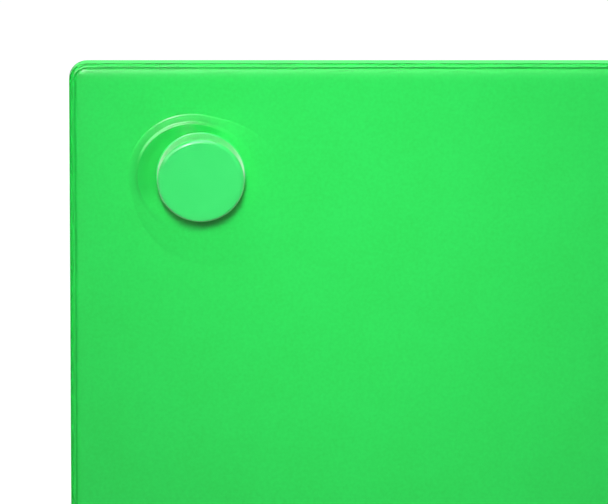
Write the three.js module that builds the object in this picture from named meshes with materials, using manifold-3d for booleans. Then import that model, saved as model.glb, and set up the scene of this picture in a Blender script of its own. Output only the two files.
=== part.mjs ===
// Magnet holder panel: two vinyl skins welded round their edge over a steel sheet, with a raised
// round boss near each corner and a round pull-off magnet standing on each boss.
//
// Units are millimetres. X runs to the right, Z up, and the front faces -Y.
// The origin is the middle of the flat back face, where the panel meets the wall.

import * as THREE from "three";
import { mergeVertices } from "three/addons/utils/BufferGeometryUtils.js";
import Module from "manifold-3d";

const wasm = await Module();
wasm.setup();

// ---- Driving dimensions ----------------------------------------------------------------------

const panelWidth = 400;
const panelHeight = 300;
const cornerRadius = 5;

// Thickness of each layer, from the wall forwards.
const rearSkinThickness = 0.6;
const stripThickness = 1.1;
const coreThickness = 0.5;
const frontSkinThickness = 0.8;

// Welded rim: a narrow bead along the edge, a groove, a second bead, a second groove, then a long
// soft shoulder up to the flat front. Insets are from the panel's edge, heights from the wall.
const edgeBeadInset = 0.16;
const edgeBeadHeight = 2.55;
const firstGrooveInset = 0.45;
const firstGrooveEnd = 0.55;
const firstGrooveHeight = 2.08;
const innerBeadStart = 0.76;
const innerBeadStartHeight = 2.58;
const innerBeadInset = 0.98;
const innerBeadHeight = 2.75;
const secondGrooveInset = 1.5;
const secondGrooveEnd = 1.62;
const secondGrooveHeight = 2.2;
const shoulderStart = 1.84;
const shoulderStartHeight = 2.46;
const shoulderInset = 6.2;
const shoulderSwell = 0.15;
const edgeRounding = 0.1;

// Raised bosses near the corners.
const bossInsetX = 33.8;
const bossInsetZ = 32.4;
const bossHeight = 0.6;
const bossSlopeWidth = 2.4;
const bossEdgeRadius = 0.4;
const bossFootRadius = 0.4;
const keeperDiameter = 27;

// Round magnets.
const capDiameter = 24;
const capEdgeRadius = 1;
const capFootRadius = 0.4;
const capWall = 1.4;
const capRoof = 1.5;
const cupWall = 1.3;
const cupRoof = 1.2;
const magnetThickness = 2.9;
const magnetRecess = 0.3;
const padThickness = 0.3;

// Magnetic strips, the corners of the layers inside, and the side clearance between pieces.
const stripHeight = 30;
const layerCornerRadius = 3;
const fitGap = 0.3;

// Each magnet is set on its boss by hand, so it stands a little off the boss's middle.
const corners = [
  { name: "top_left", side: -1, level: 1, offsetX: 2.4, offsetZ: 0.3 },
  { name: "top_right", side: 1, level: 1, offsetX: -0.7, offsetZ: -1.1 },
  { name: "bottom_left", side: -1, level: -1, offsetX: 1.2, offsetZ: 0.6 },
  { name: "bottom_right", side: 1, level: -1, offsetX: 0.5, offsetZ: 1.4 },
];

// ---- Heights above the wall that follow from them ----------------------------------------------

const coreBack = rearSkinThickness + stripThickness;
const coreFront = coreBack + coreThickness;
const panelFront = coreFront + frontSkinThickness;
const bossFront = panelFront + bossHeight;
const keeperFront = bossFront - frontSkinThickness;

// The layers lie inside the shoulder, a skin's thickness and a clearance further in.
const hollowInset = shoulderInset + frontSkinThickness;
const layerInset = hollowInset + fitGap;

// ---- Smoothness of round shapes ----------------------------------------------------------------

const capSegments = 48;
const bossSegments = 48;
const innerSegments = 32;
const cornerSegments = 8;
const filletSegments = 3;

// ---- Materials ---------------------------------------------------------------------------------

function finish(color, roughness, metalness) {
  return new THREE.MeshStandardMaterial({ color, roughness, metalness });
}

const finishes = {
  greenVinyl: () => finish(0x31da58, 0.28, 0),
  greenCap: () => finish(0x45ec6c, 0.3, 0),
  steelSheet: () => finish(0xa9adb0, 0.35, 1),
  zincPlate: () => finish(0xb9bec4, 0.3, 1),
  nickelPlate: () => finish(0xc9c7c0, 0.18, 1),
  magnetRubber: () => finish(0x2c2b2a, 0.8, 0),
  foamBoard: () => finish(0xe9e9e4, 0.7, 0),
  softPad: () => finish(0x26282a, 0.85, 0),
};

// ---- Solids ------------------------------------------------------------------------------------

// A closed solid from a geometry: shared corners merged, triangles without area left out.
function solidOf(geometry) {
  const bare = geometry.clone();
  bare.deleteAttribute("normal");
  bare.deleteAttribute("uv");
  const merged = mergeVertices(bare);
  const corner = merged.index.array;
  const triangles = [];
  for (let i = 0; i < corner.length; i += 3) {
    const [a, b, c] = corner.slice(i, i + 3);
    if (a !== b && b !== c && c !== a) {
      triangles.push(a, b, c);
    }
  }
  return new wasm.Manifold(new wasm.Mesh({
    numProp: 3,
    vertProperties: new Float32Array(merged.attributes.position.array),
    triVerts: new Uint32Array(triangles),
  }));
}

function geometryOf(solid) {
  const mesh = solid.getMesh();
  const geometry = new THREE.BufferGeometry();
  geometry.setAttribute("position", new THREE.BufferAttribute(mesh.vertProperties, 3));
  geometry.setIndex(new THREE.BufferAttribute(mesh.triVerts, 1));
  geometry.computeVertexNormals();
  return geometry;
}

// The points of a quarter round of a profile, from one angle to another, in degrees.
function arc(centreX, centreY, radius, fromDegrees, toDegrees) {
  const points = [];
  for (let i = 0; i <= filletSegments; i += 1) {
    const degrees = fromDegrees + ((toDegrees - fromDegrees) * i) / filletSegments;
    const angle = THREE.MathUtils.degToRad(degrees);
    points.push([centreX + radius * Math.cos(angle), centreY + radius * Math.sin(angle)]);
  }
  return points;
}

// A round solid about the Y axis. Its profile gives [radius, height above the wall], and runs
// from the axis on the wall side round the outside to the axis at the front.
function turned(profile, segments) {
  const points = profile.map(([radius, height]) => new THREE.Vector2(radius, -height));
  return solidOf(new THREE.LatheGeometry(points.reverse(), segments));
}

// A plain disc between two heights above the wall.
function disc(diameter, back, front, segments) {
  const radius = diameter / 2;
  return turned([[0, back], [radius, back], [radius, front], [0, front]], segments);
}

// The corners of a rounded rectangle, this far in from the panel's edge, at this height.
function rimLoop([inset, height]) {
  const halfWidth = panelWidth / 2 - inset;
  const halfHeight = panelHeight / 2 - inset;
  const radius = Math.max(cornerRadius - inset, cornerRadius / 10);
  const loop = [];
  for (const [signX, signZ, start] of [[1, 1, 0], [-1, 1, 90], [-1, -1, 180], [1, -1, 270]]) {
    for (let i = 0; i <= cornerSegments; i += 1) {
      const angle = THREE.MathUtils.degToRad(start + (90 * i) / cornerSegments);
      loop.push(
        signX * (halfWidth - radius) + radius * Math.cos(angle),
        -height,
        signZ * (halfHeight - radius) + radius * Math.sin(angle),
      );
    }
  }
  return loop;
}

// A sheet with a shaped rim. Its profile gives [inset from the edge, height above the wall], and
// runs from the back face out to the edge and in again along the front.
function rimmedSheet(profile) {
  const loopSize = 4 * (cornerSegments + 1);
  const positions = profile.flatMap(rimLoop);
  const triangles = [];
  for (let ring = 0; ring + 1 < profile.length; ring += 1) {
    for (let i = 0; i < loopSize; i += 1) {
      const here = ring * loopSize + i;
      const next = ring * loopSize + ((i + 1) % loopSize);
      triangles.push(here, next, here + loopSize);
      triangles.push(next, next + loopSize, here + loopSize);
    }
  }
  const last = (profile.length - 1) * loopSize;
  for (let i = 1; i + 1 < loopSize; i += 1) {
    triangles.push(0, i + 1, i);
    triangles.push(last, last + i, last + i + 1);
  }
  const geometry = new THREE.BufferGeometry();
  geometry.setAttribute("position", new THREE.Float32BufferAttribute(positions, 3));
  geometry.setIndex(triangles);
  return solidOf(geometry);
}

// A flat rectangular layer with rounded corners, centred on X = 0, between two heights.
function layer(width, height, centreZ, back, front) {
  const radius = layerCornerRadius;
  const right = width / 2 - radius;
  const top = height / 2 - radius;
  const outline = new THREE.Shape();
  outline.absarc(right, top, radius, 0, Math.PI / 2);
  outline.absarc(-right, top, radius, Math.PI / 2, Math.PI);
  outline.absarc(-right, -top, radius, Math.PI, 1.5 * Math.PI);
  outline.absarc(right, -top, radius, 1.5 * Math.PI, 2 * Math.PI);
  const geometry = new THREE.ExtrudeGeometry(outline, {
    depth: front - back,
    bevelEnabled: false,
    curveSegments: cornerSegments,
  });
  geometry.rotateX(Math.PI / 2);
  geometry.translate(0, -back, centreZ);
  return solidOf(geometry);
}

// ---- Panel -------------------------------------------------------------------------------------

const bossPlace = ({ side, level }) => [
  side * (panelWidth / 2 - bossInsetX),
  0,
  level * (panelHeight / 2 - bossInsetZ),
];

// The weld joins the skins as far in as the second groove. Inside it the front skin rises over
// the layers, and the hollow behind it follows at the skin's thickness.
function frontSkin() {
  const weldInset = shoulderStart + fitGap;
  const sheet = rimmedSheet([
    [hollowInset, coreFront],
    [weldInset + frontSkinThickness, rearSkinThickness],
    [0, rearSkinThickness],
    [0, edgeBeadHeight - edgeRounding],
    [edgeRounding, edgeBeadHeight],
    [edgeBeadInset, edgeBeadHeight],
    [firstGrooveInset, firstGrooveHeight],
    [firstGrooveEnd, firstGrooveHeight],
    [innerBeadStart, innerBeadStartHeight],
    [innerBeadInset, innerBeadHeight],
    [secondGrooveInset, secondGrooveHeight],
    [secondGrooveEnd, secondGrooveHeight],
    [shoulderStart, shoulderStartHeight],
    [(shoulderStart + shoulderInset) / 2, (shoulderStartHeight + panelFront) / 2 + shoulderSwell],
    [shoulderInset, panelFront],
  ]);
  const pocketRadius = keeperDiameter / 2 + fitGap;
  const topRadius = pocketRadius + frontSkinThickness;
  const footRadius = topRadius + bossSlopeWidth;
  const rootHeight = panelFront - frontSkinThickness / 2;
  const boss = turned([
    [0, rootHeight],
    [footRadius, rootHeight],
    ...arc(footRadius, panelFront + bossFootRadius, bossFootRadius, 270, 225),
    ...arc(topRadius, bossFront - bossEdgeRadius, bossEdgeRadius, 45, 90),
    [0, bossFront],
  ], bossSegments);
  const pocket = disc(2 * pocketRadius, coreFront - frontSkinThickness, keeperFront, innerSegments);
  return corners.reduce(
    (skin, corner) => skin.add(boss.translate(bossPlace(corner)))
      .subtract(pocket.translate(bossPlace(corner))),
    sheet,
  );
}

function rearSkin() {
  return rimmedSheet([
    [edgeRounding, 0],
    [0, edgeRounding],
    [0, rearSkinThickness],
  ]);
}

const layerWidth = panelWidth - 2 * layerInset;
const layerHeight = panelHeight - 2 * layerInset;
const stripCentre = (layerHeight - stripHeight) / 2;
const boardHeight = layerHeight - 2 * stripHeight - 2 * fitGap;

const keeper = disc(keeperDiameter, coreFront, keeperFront, innerSegments);

// ---- Magnets, each built on the axis of its own group ------------------------------------------

const padFront = bossFront + padThickness;
const magnetBack = padFront + magnetRecess;
const magnetFront = magnetBack + magnetThickness;
const cupFront = magnetFront + cupRoof;
const capFront = cupFront + capRoof;
const cupDiameter = capDiameter - 2 * capWall - 2 * fitGap;
const magnetDiameter = cupDiameter - 2 * cupWall - 2 * fitGap;

function magnetCap() {
  const radius = capDiameter / 2;
  const inside = radius - capWall;
  return turned([
    [inside, padFront],
    ...arc(radius + capFootRadius, padFront + capFootRadius, capFootRadius, 270, 180),
    ...arc(radius - capEdgeRadius, capFront - capEdgeRadius, capEdgeRadius, 0, 90),
    [0, capFront],
    [0, cupFront],
    [inside, cupFront],
    [inside, padFront],
  ], capSegments);
}

function magnetCup() {
  const radius = cupDiameter / 2;
  const inside = radius - cupWall;
  return turned([
    [inside, padFront],
    [radius, padFront],
    [radius, cupFront],
    [0, cupFront],
    [0, magnetFront],
    [inside, magnetFront],
    [inside, padFront],
  ], innerSegments);
}

// ---- Assembly ----------------------------------------------------------------------------------

const holder = new THREE.Group();

function place(group, name, solid, material) {
  const mesh = new THREE.Mesh(geometryOf(solid), material());
  mesh.name = name;
  group.add(mesh);
}

place(holder, "front_skin", frontSkin(), finishes.greenVinyl);
place(holder, "rear_skin", rearSkin(), finishes.greenVinyl);
place(holder, "core_sheet", layer(layerWidth, layerHeight, 0, coreBack, coreFront), finishes.steelSheet);
for (const [name, level] of [["top", 1], ["bottom", -1]]) {
  const strip = layer(layerWidth, stripHeight, level * stripCentre, rearSkinThickness, coreBack);
  place(holder, `magnetic_strip_${name}`, strip, finishes.magnetRubber);
}
const board = layer(layerWidth, boardHeight, 0, rearSkinThickness, coreBack);
place(holder, "spacer_board", board, finishes.foamBoard);

for (const corner of corners) {
  const boss = new THREE.Group();
  boss.position.set(...bossPlace(corner));
  holder.add(boss);
  place(boss, `keeper_disc_${corner.name}`, keeper, finishes.steelSheet);

  const magnet = new THREE.Group();
  magnet.position.set(corner.offsetX, 0, corner.offsetZ);
  boss.add(magnet);
  const magnetDisc = disc(magnetDiameter, magnetBack, magnetFront, innerSegments);
  place(magnet, `magnet_cap_${corner.name}`, magnetCap(), finishes.greenCap);
  place(magnet, `magnet_cup_${corner.name}`, magnetCup(), finishes.zincPlate);
  place(magnet, `magnet_disc_${corner.name}`, magnetDisc, finishes.nickelPlate);
  place(magnet, `magnet_pad_${corner.name}`, disc(cupDiameter, bossFront, padFront, innerSegments),
    finishes.softPad);
}

export default holder;
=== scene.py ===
# %% [markdown]
# # A magnet holder panel in gloss green vinyl
#
# The object is a flat wall panel. Two vinyl skins are welded together round their edge, with a
# steel sheet between them. Near each corner a steel disc lifts the front skin into a low round
# boss, and a round pull-off magnet stands on the boss to pin papers to the panel.
#
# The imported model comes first: it says where each part is, and this lesson only makes the
# surfaces finer and gives each one the finish of its real material.

import math
from functools import partial

import bmesh
import bpy
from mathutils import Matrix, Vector
from mathutils.geometry import delaunay_2d_cdt


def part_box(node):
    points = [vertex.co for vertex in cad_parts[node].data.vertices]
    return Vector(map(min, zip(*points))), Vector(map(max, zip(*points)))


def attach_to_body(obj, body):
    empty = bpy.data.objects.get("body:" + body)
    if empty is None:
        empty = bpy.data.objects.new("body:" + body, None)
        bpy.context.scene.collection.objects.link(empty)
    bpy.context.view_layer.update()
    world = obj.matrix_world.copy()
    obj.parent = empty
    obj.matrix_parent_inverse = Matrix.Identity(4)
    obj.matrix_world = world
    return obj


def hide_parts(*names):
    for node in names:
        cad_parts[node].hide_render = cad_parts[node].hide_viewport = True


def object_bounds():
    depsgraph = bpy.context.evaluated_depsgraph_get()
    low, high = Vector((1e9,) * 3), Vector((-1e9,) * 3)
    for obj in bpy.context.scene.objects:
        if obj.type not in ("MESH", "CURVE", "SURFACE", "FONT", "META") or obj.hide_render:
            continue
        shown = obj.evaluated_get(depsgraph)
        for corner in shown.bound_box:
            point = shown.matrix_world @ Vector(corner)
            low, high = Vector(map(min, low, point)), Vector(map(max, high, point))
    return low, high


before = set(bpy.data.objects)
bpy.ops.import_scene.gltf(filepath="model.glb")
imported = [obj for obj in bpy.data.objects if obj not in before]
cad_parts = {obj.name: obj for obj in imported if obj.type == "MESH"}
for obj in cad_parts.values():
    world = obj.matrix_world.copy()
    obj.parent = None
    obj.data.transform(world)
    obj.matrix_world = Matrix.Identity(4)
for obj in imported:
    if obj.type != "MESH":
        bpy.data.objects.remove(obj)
cad_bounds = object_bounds()
print("nodes in the packed model:", len(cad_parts))

# %% [markdown]
# ## Sizes, in millimetres
#
# Vinyl work is measured in tenths of a millimetre, so the shapes below are drawn in millimetres
# and turned into metres at the last moment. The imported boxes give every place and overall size.
# What a box can't say, such as how round an edge is, is a named value of its own.
#
# Depth is counted as height above the wall: the wall is at 0 and the front faces -Y.

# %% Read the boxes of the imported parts
MM = 0.001
CORNERS = ("top_left", "top_right", "bottom_left", "bottom_right")


def box_mm(node):
    low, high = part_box(node)
    return low / MM, high / MM


skin_low, skin_high = box_mm("front_skin")
half_width = (skin_high.x - skin_low.x) / 2
half_height = (skin_high.z - skin_low.z) / 2
boss_height = -skin_low.y
rear_skin_thickness = -skin_high.y
keeper_low, keeper_high = box_mm("keeper_disc_top_left")
keeper_height = -keeper_low.y
core_height = -keeper_high.y
keeper_radius = (keeper_high.x - keeper_low.x) / 2
skin_thickness = boss_height - keeper_height
field_height = core_height + skin_thickness
print(f"panel {2 * half_width:.0f} x {2 * half_height:.0f} mm, front at {field_height:.1f} mm")

# %% [markdown]
# ## A small builder for closed shells
#
# A sheet with a shaped rim and round bosses could be made by extruding a plane and cutting it
# with booleans, but booleans leave long thin triangles that shade badly under gloss. Here each
# shell is drawn as rings of points instead. Neighbouring rings are joined with quads, and the
# flat field between the rim and the bosses is filled with even triangles by a Delaunay fill,
# so that a soft reflection runs across it without a kink.

# %% Shell builder
FIELD_SPACING = 7.0
FILL_TOLERANCE = 1e-6
MERGE_DISTANCE = 1e-7


class Shell:
    """Points as (x, z, height above the wall) in millimetres, and the faces between them."""

    def __init__(self):
        self.points = []
        self.faces = []

    def ring(self, points):
        start = len(self.points)
        self.points.extend(points)
        return list(range(start, len(self.points)))

    def bridge(self, rings):
        for near, far in zip(rings, rings[1:]):
            count = len(near)
            for i in range(count):
                j = (i + 1) % count
                self.faces.append((near[i], near[j], far[j], far[i]))

    def close(self, ring):
        middle = sum((Vector(self.points[i]) for i in ring), Vector()) / len(ring)
        self.points.append(tuple(middle))
        centre = len(self.points) - 1
        count = len(ring)
        for i in range(count):
            self.faces.append((ring[i], ring[(i + 1) % count], centre))

    def fill(self, outer, holes, height):
        """Fills the field inside the outer ring and outside the holes with even triangles.

        A hole is its ring and a function that says how far outside the ring a point lies.
        """
        edge_rings = [outer] + [ring for ring, _ in holes]
        indices = [i for ring in edge_rings for i in ring]
        flat = [Vector(self.points[i][:2]) for i in indices]
        edges = []
        start = 0
        for ring in edge_rings:
            count = len(ring)
            edges += [(start + i, start + (i + 1) % count) for i in range(count)]
            start += count
        reach_x = max(p.x for p in flat) - FIELD_SPACING / 2
        reach_z = max(p.y for p in flat) - FIELD_SPACING / 2
        columns = round(2 * reach_x / FIELD_SPACING)
        rows = round(2 * reach_z / FIELD_SPACING)
        for row in range(rows + 1):
            for column in range(columns + 1):
                x = -reach_x + 2 * reach_x * (column + 0.5 * (row % 2)) / (columns + 0.5)
                z = -reach_z + 2 * reach_z * row / rows
                point = Vector((x, z))
                if all(clearance(point) > FIELD_SPACING / 3 for _, clearance in holes):
                    flat.append(point)
                    self.points.append((x, z, height(x, z)))
                    indices.append(len(self.points) - 1)
        _, _, triangles, originals, _, _ = delaunay_2d_cdt(flat, edges, [], 0, FILL_TOLERANCE)
        for triangle in triangles:
            corners = [originals[i][0] for i in triangle]
            middle = sum((flat[i] for i in corners), Vector((0, 0))) / 3
            if all(clearance(middle) > 0 for _, clearance in holes):
                self.faces.append(tuple(indices[i] for i in corners))

    def piece(self, name, sharp_degrees=40):
        mesh = bpy.data.meshes.new(name)
        mesh.from_pydata([(x * MM, -height * MM, z * MM) for x, z, height in self.points],
                         [], self.faces)
        mesh.validate()
        obj = bpy.data.objects.new(name, mesh)
        bpy.context.scene.collection.objects.link(obj)
        face_outwards(mesh)
        mesh.shade_smooth()
        mesh.set_sharp_from_angle(angle=math.radians(sharp_degrees))
        print(f"{name}: {len(mesh.polygons)} faces")
        return obj


def face_outwards(mesh):
    work = bmesh.new()
    work.from_mesh(mesh)
    bmesh.ops.remove_doubles(work, verts=work.verts, dist=MERGE_DISTANCE)
    bmesh.ops.recalc_face_normals(work, faces=work.faces)
    work.to_mesh(mesh)
    work.free()


# %% [markdown]
# ## Outlines and profiles
#
# Two outlines make the whole object: the rounded rectangle of the panel, taken further and
# further in from the edge, and the circle. A profile is a list of (inset, height) or
# (radius, height) pairs, and a rounded stretch of it is an arc.

# %% Outlines and arcs
CORNER_RADIUS = 5.0
CORNER_STEPS = 14
STRAIGHT_STEP = 8.0
TIGHTEST_CORNER = 1.6


def panel_outline(inset, height):
    """The panel's rounded rectangle, this far in from the edge."""
    radius = max(CORNER_RADIUS - inset, TIGHTEST_CORNER)
    right = half_width - inset - radius
    top = half_height - inset - radius
    corner_middles = ((right, top), (-right, top), (-right, -top), (right, -top))
    points = []
    for turn, (x, z) in enumerate(corner_middles):
        for step in range(CORNER_STEPS + 1):
            angle = math.radians(90 * (turn + step / CORNER_STEPS))
            points.append((x + radius * math.cos(angle), z + radius * math.sin(angle), height))
        next_x, next_z = corner_middles[(turn + 1) % 4]
        angle = math.radians(90 * (turn + 1))
        start = Vector((x + radius * math.cos(angle), z + radius * math.sin(angle)))
        end = Vector((next_x + radius * math.cos(angle), next_z + radius * math.sin(angle)))
        full_length = 2 * (half_height if turn % 2 else half_width)
        steps = round(full_length / STRAIGHT_STEP)
        for step in range(1, steps):
            point = start.lerp(end, step / steps)
            points.append((point.x, point.y, height))
    return points


def circle(centre, radius, height, segments):
    turn = 2 * math.pi / segments
    return [(centre.x + radius * math.cos(i * turn), centre.y + radius * math.sin(i * turn), height)
            for i in range(segments)]


def arc(x, y, radius, start, end, steps=6):
    """Profile points on a round corner, from one angle to another in degrees."""
    angles = (math.radians(start + (end - start) * i / steps) for i in range(steps + 1))
    return [(x + radius * math.cos(a), y + radius * math.sin(a)) for a in angles]


def swell(start, end, steps=6):
    """Profile points on a soft S from one (inset, height) to the next, flat at both ends."""
    points = []
    for i in range(1, steps + 1):
        t = i / steps
        ease = (1 - math.cos(math.pi * t)) / 2
        points.append((start[0] + (end[0] - start[0]) * t, start[1] + (end[1] - start[1]) * ease))
    return points


# %% [markdown]
# ## The welded rim
# Painted shade in the weld grooves deepens the dark ones.
#
# The skins are joined by high-frequency welding. Two brass ribs press and melt the vinyl, and
# what they push aside cools into rounded beads: one along the cut edge and one between the
# ribs. Inside the second rib the front skin climbs over the steel, steeply at first and then
# in a long soft shoulder. The beads are only half a millimetre high, but under a lamp they
# draw the bright and dark lines that run all round the panel, so they are real geometry.
#
# The weld is a few (inset, height) corners, each one rounded off. The shoulder is a power
# curve, with its points closest together where it is steepest.

# %% Rounding a profile's corners
def rounded(corners, reach, steps=4):
    """A line through these corners, each one rounded off this far, or half way to the next."""
    points = [corners[0]]
    for before, corner, after in zip(corners, corners[1:], corners[2:]):
        here = Vector(corner)
        into = Vector(before) - here
        out = Vector(after) - here
        into *= min(reach / into.length, 0.5)
        out *= min(reach / out.length, 0.5)
        for i in range(steps + 1):
            t = i / steps
            points.append(tuple(here + into * (1 - t) ** 2 + out * t ** 2))
    return points + [corners[-1]]


# %% Rim profile
WELD_CORNERS = [(0.0, 2.5), (0.1, 2.55), (0.42, 2.08), (0.55, 2.08), (0.82, 2.5),
                (1.15, 2.75), (1.7, 2.22), (1.84, 2.22), (2.06, 2.46)]
SOFTENING = 0.12
SHOULDER = 6.2
SHOULDER_STEPS = 12
SHOULDER_CROWDING = 1.5
SHOULDER_POWER = 2.5
FLAT_MARGIN = 0.3

shoulder_start = Vector(WELD_CORNERS[-1])
shoulder = []
for i in range(1, SHOULDER_STEPS + 1):
    t = (i / SHOULDER_STEPS) ** SHOULDER_CROWDING
    shoulder.append((shoulder_start.x + (SHOULDER - shoulder_start.x) * t,
                     field_height - (field_height - shoulder_start.y) * (1 - t) ** SHOULDER_POWER))
edge_start = (0.0, rear_skin_thickness)
rim_profile = rounded([edge_start] + WELD_CORNERS + shoulder[:1], SOFTENING) + shoulder[1:]
rim_profile.append((SHOULDER + FLAT_MARGIN, field_height))
print("rim profile:", len(rim_profile), "points")

# %% [markdown]
# ## The front skin
#
# The film is drawn warm over the steel disc near each corner. Towards the panel's corner the
# weld holds it close, so there it is taut: the slope is short, a low crease stands round the
# disc, and the top inside the crease is faintly dished. On the inner side the film has room,
# so the crease fades and the slope runs out long and soft. A lathe can't make that, so each
# boss is a set of rings whose points move outwards by a width that depends on their direction.

# %% Where the bosses stand
FIT_GAP = 0.3
BOSS_DRAPE = 0.5

pocket_radius = keeper_radius + FIT_GAP
boss_top_radius = pocket_radius + skin_thickness + BOSS_DRAPE


def middle_of(node):
    low, high = box_mm(node)
    return Vector(((low.x + high.x) / 2, (low.z + high.z) / 2))


boss_middles = {corner: middle_of(f"keeper_disc_{corner}") for corner in CORNERS}
print(f"bosses {2 * boss_top_radius:.1f} mm across the top")

# %% A taut side and a loose side
TAUT_COSINE = 0.5
TAUT_FADE = 4.0
BOSS_SLOPE_NARROW = 2.6
BOSS_SLOPE_WIDE = 14.0
BOSS_SLOPE_GROWTH = 1.5
BOSS_MARGIN = 0.5


def turned_away(middle, direction):
    """0 on the side of the boss towards the panel's corner, rising to 1 on its inner side."""
    outwards = Vector((math.copysign(1, middle.x), math.copysign(1, middle.y))).normalized()
    return max(0.0, TAUT_COSINE - direction.dot(outwards)) / (1 + TAUT_COSINE)


def taut_share(middle, direction):
    """1 where the film is drawn tight over the disc, 0 where its slope grows wide."""
    return max(0.0, 1 - TAUT_FADE * turned_away(middle, direction))


def boss_slope_width(middle, direction):
    share = turned_away(middle, direction) ** BOSS_SLOPE_GROWTH
    return BOSS_SLOPE_NARROW + (BOSS_SLOPE_WIDE - BOSS_SLOPE_NARROW) * share


def boss_clearance(middle, point):
    """How far this point of the field lies outside the boss's foot."""
    away = point - middle
    width = boss_slope_width(middle, away.normalized())
    return away.length - boss_top_radius - width * (1 + BOSS_MARGIN)


def pocket_clearance(middle, point):
    """How far this point lies outside the pocket for the keeper disc."""
    return (point - middle).length - pocket_radius


# %% [markdown]
# A boss's profile is a list of (share, rise). Share 0 is the top's edge, share 1 the foot of
# the slope, and below 0 lies the top itself. Rise 1 is the top's height, and what stands above
# it is the crease.
#
# Between the bosses the film lies on the steel almost, but not quite, flat: laminated vinyl
# always keeps a faint long wave, of a few hundredths of a millimetre, that only a reflection
# shows.

# %% The boss's rings and the field's wave
BOSS_SEGMENTS = 144
BOSS_CORNERS = [(1 + BOSS_MARGIN, 0.0), (1.0, 0.0), (0.94, 0.14), (0.24, 0.76), (0.0, 1.5),
                (-0.08, 1.5), (-1.0, 1.0), (-1.2, 1.0)]
BOSS_ROUNDING = 0.1
WAVE_DEPTH = 0.02
WAVE_FADE = 25.0
WAVE_LENGTHS = ((91.0, 23.0), (57.0, 71.0), (38.0, -49.0))


def boss_ring(middle, share, rise):
    """One ring of the boss. The crease fades out where the slope grows wide."""
    ring = []
    for x, z, _ in circle(Vector((0, 0)), 1.0, 0.0, BOSS_SEGMENTS):
        direction = Vector((x, z))
        width = boss_slope_width(middle, direction) if share > 0 else BOSS_SLOPE_NARROW
        place = middle + direction * (boss_top_radius + share * width)
        crease = max(0.0, rise - 1) * taut_share(middle, direction)
        height = field_height + (boss_height - field_height) * (min(rise, 1.0) + crease)
        ring.append((place.x, place.y, height))
    return ring


def field_wave(x, z):
    """The film's faint long wave, faded out towards the rim and the bosses."""
    clear = min(half_width - SHOULDER - abs(x), half_height - SHOULDER - abs(z))
    for middle in boss_middles.values():
        clear = min(clear, boss_clearance(middle, Vector((x, z))))
    fade = max(0.0, min(1.0, clear / WAVE_FADE))
    wave = sum(math.sin(2 * math.pi * (x / a + z / b)) for a, b in WAVE_LENGTHS)
    return field_height - WAVE_DEPTH * fade * (1 + wave / len(WAVE_LENGTHS)) / 2


boss_profile = rounded(BOSS_CORNERS, BOSS_ROUNDING)
print("boss profile:", len(boss_profile), "points")

# %% [markdown]
# The skin is one closed shell. Its outside goes from the cut edge over the rim to the field and
# the bosses. Its inside goes from the weld up to the steel, with a pocket for each keeper disc.

# %% Outside of the front skin
front = Shell()
front_rings = [front.ring(panel_outline(*station)) for station in rim_profile]
front.bridge(front_rings)
front_holes = []
for middle in boss_middles.values():
    rings = [front.ring(boss_ring(middle, *station)) for station in boss_profile]
    front.bridge(rings)
    front.close(rings[-1])
    front_holes.append((rings[0], partial(boss_clearance, middle)))
front.fill(front_rings[-1], front_holes, field_wave)

# %% Inside of the front skin
hollow_inset = SHOULDER + skin_thickness
weld_inset = shoulder_start.x + FIT_GAP + skin_thickness
back_profile = [(0, rear_skin_thickness), (weld_inset, rear_skin_thickness),
                (hollow_inset, core_height)]
back_rings = [front.ring(panel_outline(*station)) for station in back_profile]
front.bridge(back_rings)
back_holes = []
for middle in boss_middles.values():
    rings = [front.ring(circle(middle, pocket_radius, h, BOSS_SEGMENTS))
             for h in (core_height, keeper_height)]
    front.bridge(rings)
    front.close(rings[-1])
    back_holes.append((rings[0], partial(pocket_clearance, middle)))
front.fill(back_rings[-1], back_holes, lambda x, z: core_height)
vinyl_front = front.piece("vinyl_front")

# %% [markdown]
# Shade is painted into the film's colour in two places. Along the weld grooves, which shade
# themselves and mirror no light, the film is a deeper green. Over the boss tops and their taut
# slopes, where each magnet's cap keeps light off, it takes part of that green. An attribute on
# the mesh marks both places for the material.
# A groove is the inset of its middle and its reach to each side.

# %% Mark where shade is painted on the film
GROOVES = ((0.3, 0.3), (1.65, 0.4))
# Share of the painted shade on a boss top.
BOSS_SHADE_SHARE = 0.8


def edge_inset(x, z):
    """How far in from the panel's rounded outline a point lies."""
    beyond_x = abs(x) - (half_width - CORNER_RADIUS)
    beyond_z = abs(z) - (half_height - CORNER_RADIUS)
    if beyond_x > 0 and beyond_z > 0:
        return CORNER_RADIUS - math.hypot(beyond_x, beyond_z)
    return CORNER_RADIUS - max(beyond_x, beyond_z)


def groove_shade_share(point):
    """Painted shade in a weld groove: 1 in its middle, falling to 0 at its reach to each side."""
    inset = edge_inset(point.x / MM, point.z / MM)
    return max(0.0, *(1 - abs(inset - middle) / reach for middle, reach in GROOVES))


def boss_shade_share(point):
    """Painted shade round a magnet: 0 on the flat field, rising with the taut slope of a boss to
    its full share on the top.
    """
    place = Vector((point.x, point.z)) / MM
    middle = min(boss_middles.values(), key=lambda m: (place - m).length)
    rise = (-point.y / MM - field_height) / (boss_height - field_height)
    taut = taut_share(middle, (place - middle).normalized())
    return BOSS_SHADE_SHARE * taut * min(1.0, max(0.0, rise))


# Painted shade: how much of the deeper green each point of the film takes.
painted_shade = vinyl_front.data.attributes.new("painted_shade", "FLOAT", "POINT")
for index, vertex in enumerate(vinyl_front.data.vertices):
    painted_shade.data[index].value = max(groove_shade_share(vertex.co), boss_shade_share(vertex.co))
print("thinned points:", sum(item.value > 0 for item in painted_shade.data))

# %% [markdown]
# ## The rear skin
#
# The back is what holds the panel to a cabinet, so it stays flat. The weld ribs leave their
# shallow tracks on this side too, and the two magnetic strips show through the film as bands
# that stand a trace higher than the foam board between them.

# %% Rear skin
TRACK_DEPTH = 0.12
BACK_EDGE_RADIUS = 0.25
BAND_DEPTH = 0.05
BAND_BLEND = 1.5

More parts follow.
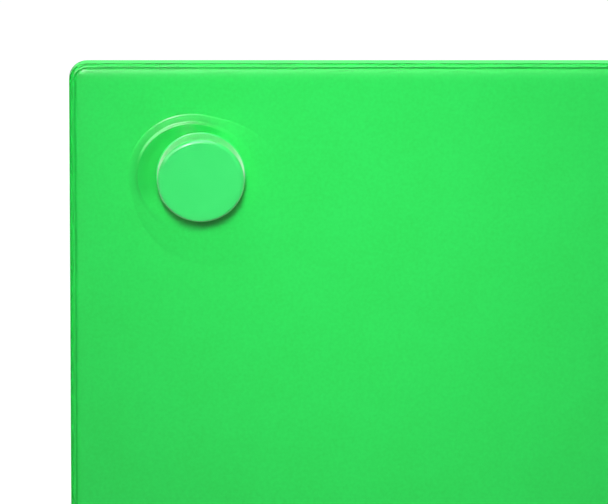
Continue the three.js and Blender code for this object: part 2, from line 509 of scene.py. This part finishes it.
band_inner = box_mm("magnetic_strip_top")[0].z
track_stations = [(BACK_EDGE_RADIUS, 0.0), (0.5, TRACK_DEPTH), (1.2, 0.0), (1.55, TRACK_DEPTH),
                  (2.6, 0.0)]
rear_profile = [(0, rear_skin_thickness)]
rear_profile += [(BACK_EDGE_RADIUS * (1 - math.cos(a)), BACK_EDGE_RADIUS * (1 - math.sin(a)))
                 for a in (math.radians(15 * i) for i in range(7))]
for near, far in zip(track_stations, track_stations[1:]):
    rear_profile += swell(near, far)
rear_profile.append((hollow_inset, 0.0))


def rear_height(x, z):
    """Sunk a trace over the foam board, level with the wall over the magnetic strips."""
    inside = (band_inner - abs(z)) / BAND_BLEND
    return BAND_DEPTH * max(0.0, min(1.0, 0.5 + inside))


rear = Shell()
rear_rings = [rear.ring(panel_outline(*station)) for station in rear_profile]
rear.bridge(rear_rings)
rear.fill(rear_rings[-1], [], rear_height)
inside_rings = [rear.ring(panel_outline(*station))
                for station in ((0, rear_skin_thickness), (hollow_inset, rear_skin_thickness))]
rear.bridge(inside_rings)
rear.fill(inside_rings[-1], [], lambda x, z: rear_skin_thickness)
vinyl_rear = rear.piece("vinyl_rear")

# %% [markdown]
# ## The magnets
#
# Each magnet is a small stack. A moulded plastic cap holds a pressed steel cup, the cup holds
# a disc magnet and turns its field towards the panel, and a thin foam pad keeps the steel off
# the vinyl. All four are round, so each is a profile turned about its axis. A lathe modifier
# would do, but turning the profile here keeps the points where they are wanted: close together
# on the small radii that catch the light, and far apart on the flats.

# %% Turning
TURN_SEGMENTS = 128
NEAR_AXIS = 0.01


def turned(name, middle, profile):
    """A closed round piece. The profile runs from the axis round the outside to the axis."""
    shell = Shell()
    rings = [shell.ring(circle(middle, r, h, TURN_SEGMENTS)) for r, h in profile]
    shell.bridge(rings)
    shell.close(rings[0])
    shell.close(rings[-1])
    return shell.piece(name)


# %% Cap
CAP_EDGE_RADIUS = 1.0
CAP_FOOT_RADIUS = 0.4
CAP_WALL = 1.4
RIM_ROUNDING = 0.25


def cap_profile(corner):
    low, high = box_mm(f"magnet_cap_{corner}")
    face = -low.y
    back = -high.y
    radius = (high.x - low.x) / 2 - CAP_FOOT_RADIUS
    inside = radius - CAP_WALL
    roof = -box_mm(f"magnet_cup_{corner}")[0].y
    profile = [(NEAR_AXIS, roof), (inside - RIM_ROUNDING, roof), (inside, roof - RIM_ROUNDING)]
    profile += [(inside, back + RIM_ROUNDING), (inside + RIM_ROUNDING, back)]
    profile += arc(radius + CAP_FOOT_RADIUS, back + CAP_FOOT_RADIUS, CAP_FOOT_RADIUS, 270, 180)
    profile += arc(radius - CAP_EDGE_RADIUS, face - CAP_EDGE_RADIUS, CAP_EDGE_RADIUS, 0, 90, 10)
    profile += [(radius - CAP_EDGE_RADIUS - FLAT_MARGIN, face), (NEAR_AXIS, face)]
    return profile


# %% Cup
CUP_WALL = 1.3
CUP_ROOF = 1.2
CUP_EDGE_RADIUS = 0.7


def cup_profile(corner):
    low, high = box_mm(f"magnet_cup_{corner}")
    top = -low.y
    rim = -high.y
    radius = (high.x - low.x) / 2
    inside = radius - CUP_WALL
    roof = top - CUP_ROOF
    profile = [(NEAR_AXIS, roof), (inside - RIM_ROUNDING, roof), (inside, roof - RIM_ROUNDING)]
    profile += arc(inside + RIM_ROUNDING, rim + RIM_ROUNDING, RIM_ROUNDING, 180, 270, 3)
    profile += arc(radius - RIM_ROUNDING, rim + RIM_ROUNDING, RIM_ROUNDING, 270, 360, 3)
    profile += arc(radius - CUP_EDGE_RADIUS, top - CUP_EDGE_RADIUS, CUP_EDGE_RADIUS, 0, 90)
    profile.append((NEAR_AXIS, top))
    return profile


# %% Magnet and pad
MAGNET_CHAMFER = 0.3
PAD_ROUNDING = 0.1


def chamfered_profile(node, chamfer):
    low, high = box_mm(node)
    radius = (high.x - low.x) / 2
    back = -high.y
    front_face = -low.y
    return [(NEAR_AXIS, back), (radius - chamfer, back), (radius, back + chamfer),
            (radius, front_face - chamfer), (radius - chamfer, front_face), (NEAR_AXIS, front_face)]


magnet_pieces = {}
for corner in CORNERS:
    middle = middle_of(f"magnet_cap_{corner}")
    magnet_pieces[corner] = {
        "cap": turned(f"cap_{corner}", middle, cap_profile(corner)),
        "cup": turned(f"cup_{corner}", middle, cup_profile(corner)),
        "disc": turned(f"disc_{corner}", middle,
                       chamfered_profile(f"magnet_disc_{corner}", MAGNET_CHAMFER)),
        "pad": turned(f"pad_{corner}", middle,
                      chamfered_profile(f"magnet_pad_{corner}", PAD_ROUNDING)),
    }
print("magnets turned:", len(magnet_pieces))

# %% [markdown]
# ## Making materials
#
# Every finish below is a short node tree: a shader with the real material's typical values,
# and noise patterns sized in millimetres that break up its colour, its gloss and its surface.
# A few helpers keep the trees readable. The first turns a hex colour, as a paint chart gives
# it, into the linear numbers that a shader wants. The second adds a node, with its settings
# and links, in a single call.

# %% Colours and nodes
def linear(hex_code):
    """An sRGB hex colour such as "30D858", as linear red, green, blue and alpha."""
    channels = [int(hex_code[i:i + 2], 16) / 255 for i in (0, 2, 4)]
    return [c / 12.92 if c <= 0.04045 else ((c + 0.055) / 1.055) ** 2.4 for c in channels] + [1.0]


def add(tree, kind, links=None, **settings):
    """Adds a node. Settings are its properties or inputs, and links go into its inputs."""
    node = tree.nodes.new(kind)
    for name, value in settings.items():
        label = name.replace("_", " ").title()
        if hasattr(node, name):
            setattr(node, name, value)
        else:
            node.inputs[label].default_value = value
    for name, socket in (links or {}).items():
        tree.links.new(socket, node.inputs[name])
    return node


def new_material(name, color, roughness, metallic=0.0, ior=None):
    """A material with one shader, set to the real material's plain values."""
    material = bpy.data.materials.new(name)
    material.use_nodes = True
    shader = material.node_tree.nodes["Principled BSDF"]
    shader.inputs["Base Color"].default_value = linear(color)
    shader.inputs["Roughness"].default_value = roughness
    shader.inputs["Metallic"].default_value = metallic
    if ior:
        shader.inputs["IOR"].default_value = ior
    return material, material.node_tree, shader


# %% [markdown]
# Noise stays near its middle value and hardly ever reaches 0 or 1, so the pattern's range from
# PATTERN_LOW to PATTERN_HIGH is what runs from one tone or roughness to the other.

# %% Patterns
PATTERN_LOW = 0.2
PATTERN_HIGH = 0.8


def pattern(tree, size_mm, detail=2.0, stretch=(1, 1, 1)):
    """A noise pattern whose lumps are about this many millimetres across."""
    place = add(tree, "ShaderNodeTexCoord").outputs["Object"]
    scaled = add(tree, "ShaderNodeMapping", {"Vector": place}, Scale=stretch)
    return add(tree, "ShaderNodeTexNoise", {"Vector": scaled.outputs["Vector"]},
               Scale=1 / (size_mm * MM), Detail=detail).outputs["Fac"]


def lay(tree, shader, factor, tones=None, roughness=None, depth_mm=None):
    """Lets one pattern vary a finish: its colour, its roughness, its relief, or all three."""
    if tones:
        ramp = add(tree, "ShaderNodeValToRGB", {"Fac": factor})
        places = (PATTERN_LOW, PATTERN_HIGH)
        for element, place, tone in zip(ramp.color_ramp.elements, places, tones):
            element.position = place
            element.color = linear(tone)
        tree.links.new(ramp.outputs["Color"], shader.inputs["Base Color"])
    if roughness:
        gloss = add(tree, "ShaderNodeMapRange", {"Value": factor}, From_Min=PATTERN_LOW,
                    From_Max=PATTERN_HIGH, To_Min=roughness[0], To_Max=roughness[1])
        tree.links.new(gloss.outputs["Result"], shader.inputs["Roughness"])
    if depth_mm:
        relief = add(tree, "ShaderNodeBump", {"Height": factor}, Strength=1.0,
                     Distance=depth_mm * MM)
        tree.links.new(relief.outputs["Normal"], shader.inputs["Normal"])


# %% [markdown]
# ### Calendered PVC film
#
# Soft PVC is rolled to gauge between hot polished rollers. That leaves a glossy skin with the
# faintest orange peel, and a colour that is even to the eye but never perfectly so: it has
# pigment clouds of a centimetre or so and a mottle just under a millimetre. The back is the
# same film rolled against a matt roller, with a fine leather-like grain that lets air out
# between the panel and the cabinet. Where the mesh marks painted shade, the colour is mixed
# with a deeper green that stands for that shade.
#
# A Mix node has an A, a B and a result for each kind of data, so its colour sockets are picked
# by their places.

# %% Gloss and matt vinyl
PVC_IOR = 1.53
PEEL_SIZE = 2.2
PEEL_DEPTH = 0.0015
CLOUD_SIZE = 14.0
MOTTLE_SIZE = 0.9
MOTTLE_SHARE = 0.65
GLOSS_SWAY = 0.03
# The deeper green of the painted shade in the weld grooves and over the boss tops.
PAINTED_SHADE_COLOR = "14CC48"
MIX_COLOR_A, MIX_COLOR_B, MIX_COLOR_RESULT = 6, 7, 2
MATT_GRAIN_SIZE = 0.5
MATT_GRAIN_DEPTH = 0.02


def calendered_pvc(name, dark, light, roughness, grain_size, grain_depth):
    material, tree, shader = new_material(name, light, roughness, ior=PVC_IOR)
    clouds = pattern(tree, CLOUD_SIZE)
    mottle = pattern(tree, MOTTLE_SIZE, detail=1.0)
    uneven = add(tree, "ShaderNodeMix", Factor=MOTTLE_SHARE)
    tree.links.new(clouds, uneven.inputs["A"])
    tree.links.new(mottle, uneven.inputs["B"])
    lay(tree, shader, uneven.outputs["Result"], tones=(dark, light))
    lay(tree, shader, clouds,
        roughness=(roughness * (1 - GLOSS_SWAY), roughness * (1 + GLOSS_SWAY)))
    lay(tree, shader, pattern(tree, grain_size, detail=1.0), depth_mm=grain_depth)
    # Painted shade: the film's colour is mixed towards the deeper green where the mesh marks it.
    full_film = shader.inputs["Base Color"].links[0].from_socket
    shade_share = add(tree, "ShaderNodeAttribute", attribute_name="painted_shade").outputs["Fac"]
    deeper = add(tree, "ShaderNodeMix", data_type="RGBA")
    tree.links.new(shade_share, deeper.inputs["Factor"])
    tree.links.new(full_film, deeper.inputs[MIX_COLOR_A])
    deeper.inputs[MIX_COLOR_B].default_value = linear(PAINTED_SHADE_COLOR)
    tree.links.new(deeper.outputs[MIX_COLOR_RESULT], shader.inputs["Base Color"])
    return material


gloss_vinyl = calendered_pvc("calendered_pvc_gloss", "28E656", "2CF062", 0.29,
                             PEEL_SIZE, PEEL_DEPTH)
matt_vinyl = calendered_pvc("calendered_pvc_matt", "08C846", "0CCE4C", 0.45,
                            MATT_GRAIN_SIZE, MATT_GRAIN_DEPTH)

# %% [markdown]
# ### Injection-moulded ABS
#
# The caps are moulded in a polished steel tool, so they shine like the film but are harder
# and a shade lighter. Moulded ABS shows a very soft sink over thick places and otherwise an
# even colour. Handling leaves a fine bloom, which the sheen stands for: it whitens the wall,
# where the eye looks along the surface, and leaves the face as it is.

# %% Moulded caps
ABS_IOR = 1.53
SINK_SIZE = 6.0
SINK_DEPTH = 0.004
CAP_BLOOM = 0.9
CAP_BLOOM_ROUGHNESS = 0.4


def moulded_abs():
    material, tree, shader = new_material("moulded_abs_gloss", "3CEF73", 0.24, ior=ABS_IOR)
    shader.inputs["Sheen Weight"].default_value = CAP_BLOOM
    shader.inputs["Sheen Roughness"].default_value = CAP_BLOOM_ROUGHNESS
    lay(tree, shader, pattern(tree, SINK_SIZE), tones=("3AEE71", "3EF075"),
        roughness=(0.22, 0.27), depth_mm=SINK_DEPTH)
    return material


cap_plastic = moulded_abs()

# %% [markdown]
# ### Steel, zinc and nickel
#
# The sheet and the discs are cold-rolled steel, grey, with fine lines along the rolling
# direction. The cups are the same steel with bright zinc plate, which is bluer and slightly
# cloudy. The disc magnets are nickel-plated, smooth and a little warm. A metal's colour is its
# reflection, so each takes its tone from the base colour with full metallic, and the rolling
# lines are a noise stretched a hundredfold along X.

# %% Metals
ROLLING_LINE_SIZE = 0.4
ROLLING_LINE_DEPTH = 0.002
PLATING_DEPTH = 0.001


def rolled_steel():
    material, tree, shader = new_material("cold_rolled_steel", "A4A8AB", 0.38, metallic=1.0)
    lay(tree, shader, pattern(tree, ROLLING_LINE_SIZE, stretch=(0.01, 1, 1)),
        tones=("9DA1A4", "ABAFB2"), roughness=(0.32, 0.45), depth_mm=ROLLING_LINE_DEPTH)
    return material


def plated(name, dark, light, roughness, cloud_size):
    material, tree, shader = new_material(name, light, roughness, metallic=1.0)
    lay(tree, shader, pattern(tree, cloud_size, detail=4.0), tones=(dark, light),
        roughness=(roughness * 0.8, roughness * 1.3), depth_mm=PLATING_DEPTH)
    return material


steel = rolled_steel()
zinc_plate = plated("zinc_plated_steel", "AEB4BC", "C2C8CF", 0.3, 1.5)
nickel_plate = plated("nickel_plated_magnet_surface", "C2BFB7", "CFCCC4", 0.16, 3.0)

# %% [markdown]
# ### Rubber-bound magnet, foam board and foam pad
#
# The magnetic strip is ferrite powder in rubber, near black and dull. The board is foamed PVC
# with a fine pitted skin. The pad is die-cut foam rubber, where small cells make the surface
# soft and dark. All three differ mostly in the size of their pits.

# %% Dull fillers
def pitted(name, dark, light, roughness, pit_size, pit_depth):
    material, tree, shader = new_material(name, light, roughness)
    lay(tree, shader, pattern(tree, pit_size, detail=3.0), tones=(dark, light), depth_mm=pit_depth)
    return material


ferrite_rubber = pitted("ferrite_rubber_strip", "272625", "302F2D", 0.75, 0.3, 0.01)
foam_board = pitted("foamed_pvc_board", "E2E2DD", "EBEBE6", 0.65, 0.4, 0.02)
foam_pad = pitted("die_cut_foam_rubber", "222425", "2C2E30", 0.9, 0.25, 0.04)

# %% [markdown]
# ## Dressing the parts
#
# A finer piece takes the place of its imported part, rides on the same body, and wears its
# finish. The hidden layers keep their imported shape, which is right as it is, and only
# get their material.

# %% Dress and attach
def dress(obj, material):
    obj.data.materials.clear()
    obj.data.materials.append(material)


def attach(piece, material, node, body):
    dress(piece, material)
    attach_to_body(piece, body)
    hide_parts(node)


attach(vinyl_front, gloss_vinyl, "front_skin", "panel")
attach(vinyl_rear, matt_vinyl, "rear_skin", "panel")
for corner, pieces in magnet_pieces.items():
    body = f"magnet_{corner}"
    attach(pieces["cap"], cap_plastic, f"magnet_cap_{corner}", body)
    attach(pieces["cup"], zinc_plate, f"magnet_cup_{corner}", body)
    attach(pieces["disc"], nickel_plate, f"magnet_disc_{corner}", body)
    attach(pieces["pad"], foam_pad, f"magnet_pad_{corner}", body)

hidden = {"core_sheet": steel, "spacer_board": foam_board}
hidden.update({f"magnetic_strip_{level}": ferrite_rubber for level in ("top", "bottom")})
hidden.update({f"keeper_disc_{corner}": steel for corner in CORNERS})
for node, material in hidden.items():
    dress(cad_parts[node], material)
print("hidden parts that keep their packed shape:", len(hidden))

# %% [markdown]
# ## Floor and background
#
# A product shot on white needs a floor and a sky that look white but don't light the object
# like lamps. The floor is grey paper, and what the camera and the reflections see of it is
# raised, so it reads as white and still keeps the object's shadow. Gloss mirrors the floor and
# the sky at only a part of that brightness, which keeps the greens deep.

# %% Floor
FLOOR_REACH = 8.0
FLOOR_LIFT = 0.88
FLOOR_MIRROR_SHARE = 0.5
FLOOR_COLOR = "808080"
PAPER_FIBRE_SIZE = 1.0
PAPER_FIBRE_DEPTH = 0.02
PAPER_ROUGHNESS = 0.9

scene = bpy.context.scene


def seen_or_mirrored(tree, mirror_share=1.0):
    """1 for rays from the camera, a share of it for mirrored ones, 0 for soft light."""
    rays = add(tree, "ShaderNodeLightPath").outputs
    mirrored = add(tree, "ShaderNodeMath", operation="MAXIMUM")
    tree.links.new(rays["Is Glossy Ray"], mirrored.inputs[0])
    tree.links.new(rays["Is Transmission Ray"], mirrored.inputs[1])
    either = add(tree, "ShaderNodeMath", operation="MULTIPLY_ADD")
    tree.links.new(mirrored.outputs[0], either.inputs[0])
    either.inputs[1].default_value = mirror_share
    tree.links.new(rays["Is Camera Ray"], either.inputs[2])
    return either.outputs[0]


def white_floor():
    material, tree, shader = new_material("studio_paper", FLOOR_COLOR, PAPER_ROUGHNESS)
    shader.inputs["Specular IOR Level"].default_value = 0.0
    lay(tree, shader, pattern(tree, PAPER_FIBRE_SIZE, detail=4.0), depth_mm=PAPER_FIBRE_DEPTH)
    lift = add(tree, "ShaderNodeMath", operation="MULTIPLY")
    tree.links.new(seen_or_mirrored(tree, FLOOR_MIRROR_SHARE), lift.inputs[0])
    lift.inputs[1].default_value = FLOOR_LIFT
    glow = add(tree, "ShaderNodeEmission", {"Strength": lift.outputs[0]}, Color=(1, 1, 1, 1))
    both = add(tree, "ShaderNodeAddShader")
    tree.links.new(shader.outputs["BSDF"], both.inputs[0])
    tree.links.new(glow.outputs["Emission"], both.inputs[1])
    tree.links.new(both.outputs["Shader"], tree.nodes["Material Output"].inputs["Surface"])
    return material


floor_mesh = bpy.data.meshes.new("floor")
floor_z = cad_bounds[0][2]
floor_mesh.from_pydata([(x * FLOOR_REACH, y * FLOOR_REACH, floor_z)
                        for x, y in ((-1, -1), (1, -1), (1, 1), (-1, 1))], [], [(0, 1, 2, 3)])
floor = bpy.data.objects.new("floor", floor_mesh)
scene.collection.objects.link(floor)
dress(floor, white_floor())
print(f"floor at {floor_z:.3f} m")

# %% Sky
SKY_MIRROR_SHARE = 0.6
AMBIENT = 0.12

world = bpy.data.worlds.new("studio")
scene.world = world
world.use_nodes = True
sky = world.node_tree
white = add(sky, "ShaderNodeBackground", Color=(1, 1, 1, 1), Strength=1.0)
soft = add(sky, "ShaderNodeBackground", Color=(1, 1, 1, 1), Strength=AMBIENT)
choose = add(sky, "ShaderNodeMixShader")
sky.links.new(seen_or_mirrored(sky, SKY_MIRROR_SHARE), choose.inputs[0])
sky.links.new(soft.outputs["Background"], choose.inputs[1])
sky.links.new(white.outputs["Background"], choose.inputs[2])
sky.links.new(choose.outputs["Shader"], sky.nodes["World Output"].inputs["Surface"])
print("soft light from the sky:", AMBIENT)

# %% [markdown]
# ## Lamps
#
# A gloss panel shows every lamp twice: as light on its colour and as a mirror image on its
# skin. A studio keeps the two apart with grids and flags, so each lamp on the panel's front
# does only one of the two jobs. The key box, in front and above, gives the light, the gentle
# falloff down the face and the soft dark edge under each magnet. A weak far box carries on
# where its light ends. The left box, the top box and the small spark lamp are only mirrored:
# they draw the pale lines on the slopes, the weld and the crease, and the crisp sparks on the
# round edges. The back box lights the back, and does both jobs.

# %% A lamp with a face
def softbox(name, place, aim, width, depth, radiance):
    """A flat lamp whose face is this bright, placed and aimed in metres."""
    data = bpy.data.lights.new(name, "AREA")
    data.shape = "RECTANGLE"
    data.size = width
    data.size_y = depth
    data.energy = radiance * math.pi * width * depth
    lamp = bpy.data.objects.new(name, data)
    lamp.location = place
    lamp.rotation_euler = (Vector(aim) - Vector(place)).to_track_quat("-Z", "Y").to_euler()
    lamp.visible_camera = False
    scene.collection.objects.link(lamp)
    return lamp


def never_mirrored(lamp, spread_degrees):
    """A grid narrows this lamp's light, and its mirror image is flagged off."""
    lamp.data.spread = math.radians(spread_degrees)
    lamp.visible_glossy = False


def only_mirrored(lamp):
    lamp.visible_diffuse = False


# %% Lamps
LAMP_AIM = Vector((-0.13, 0.0, 0.10))
KEY_AIM = Vector((-0.11, 0.0, 0.045))
SPARK_PLACE = Vector((-0.454, -0.86, 0.538))
SPARK_AIM = Vector((-0.164, 0.0, 0.118))


def towards(distance, turn, elevation):
    """A place this far from the aim, turned to the right and raised by these degrees."""
    swing = math.radians(turn)
    rise = math.radians(elevation)
    return LAMP_AIM + distance * Vector((math.sin(swing) * math.cos(rise),
                                         -math.cos(swing) * math.cos(rise), math.sin(rise)))


never_mirrored(softbox("key_softbox", towards(0.45, -7, 36), KEY_AIM, 0.1, 0.14, 7.4), 70)
only_mirrored(softbox("left_softbox", towards(0.7, -58, 24), LAMP_AIM, 0.35, 0.35, 6.5))
only_mirrored(softbox("top_softbox", (-0.10, -0.05, 1.15), (-0.10, 0, 0.15), 1.0, 0.5, 6.0))
softbox("back_softbox", (0.10, 0.5, 1.2), (0, 0, 0), 0.7, 0.6, 12.0)
never_mirrored(softbox("far_softbox", (0.12, -0.34, 0.25), (0.13, 0, 0), 0.1, 0.14, 1.1), 40)
only_mirrored(softbox("spark_lamp", SPARK_PLACE, SPARK_AIM, 0.06, 0.06, 1100.0))

# %% [markdown]
# ## Camera
#
# The camera looks from straight in front and 20 degrees above, from far away with a long lens,
# so that the edges stay parallel. It is aimed near the top left corner, and it frames that
# corner's magnet with a good part of the field round it, close enough to show the weld. The
# aim is in millimetres from the panel's left and top edges.

# %% Camera
ELEVATION = 20.0
FRAME_WIDTH = 0.1677
AIM_FROM_LEFT = 64.57
AIM_BELOW_TOP = 55.31
AIM_HEIGHT = 2.4
LENS = 1000.0
SENSOR = 36.0
FARTHEST_SEEN = 100.0

aim = Vector((-half_width + AIM_FROM_LEFT, -AIM_HEIGHT, half_height - AIM_BELOW_TOP)) * MM
tilt = math.radians(ELEVATION)
distance = LENS / SENSOR * FRAME_WIDTH
camera_data = bpy.data.cameras.new("camera")
camera_data.lens = LENS
camera_data.sensor_width = SENSOR
camera_data.clip_end = FARTHEST_SEEN
camera = bpy.data.objects.new("camera", camera_data)
camera.location = aim + distance * Vector((0, -math.cos(tilt), math.sin(tilt)))
camera.rotation_euler = (math.radians(90) - tilt, 0, 0)
scene.collection.objects.link(camera)
scene.camera = camera
scene.view_settings.view_transform = "Standard"
print(f"camera {distance:.2f} m away")

# %% End of the scene
print("scene built")
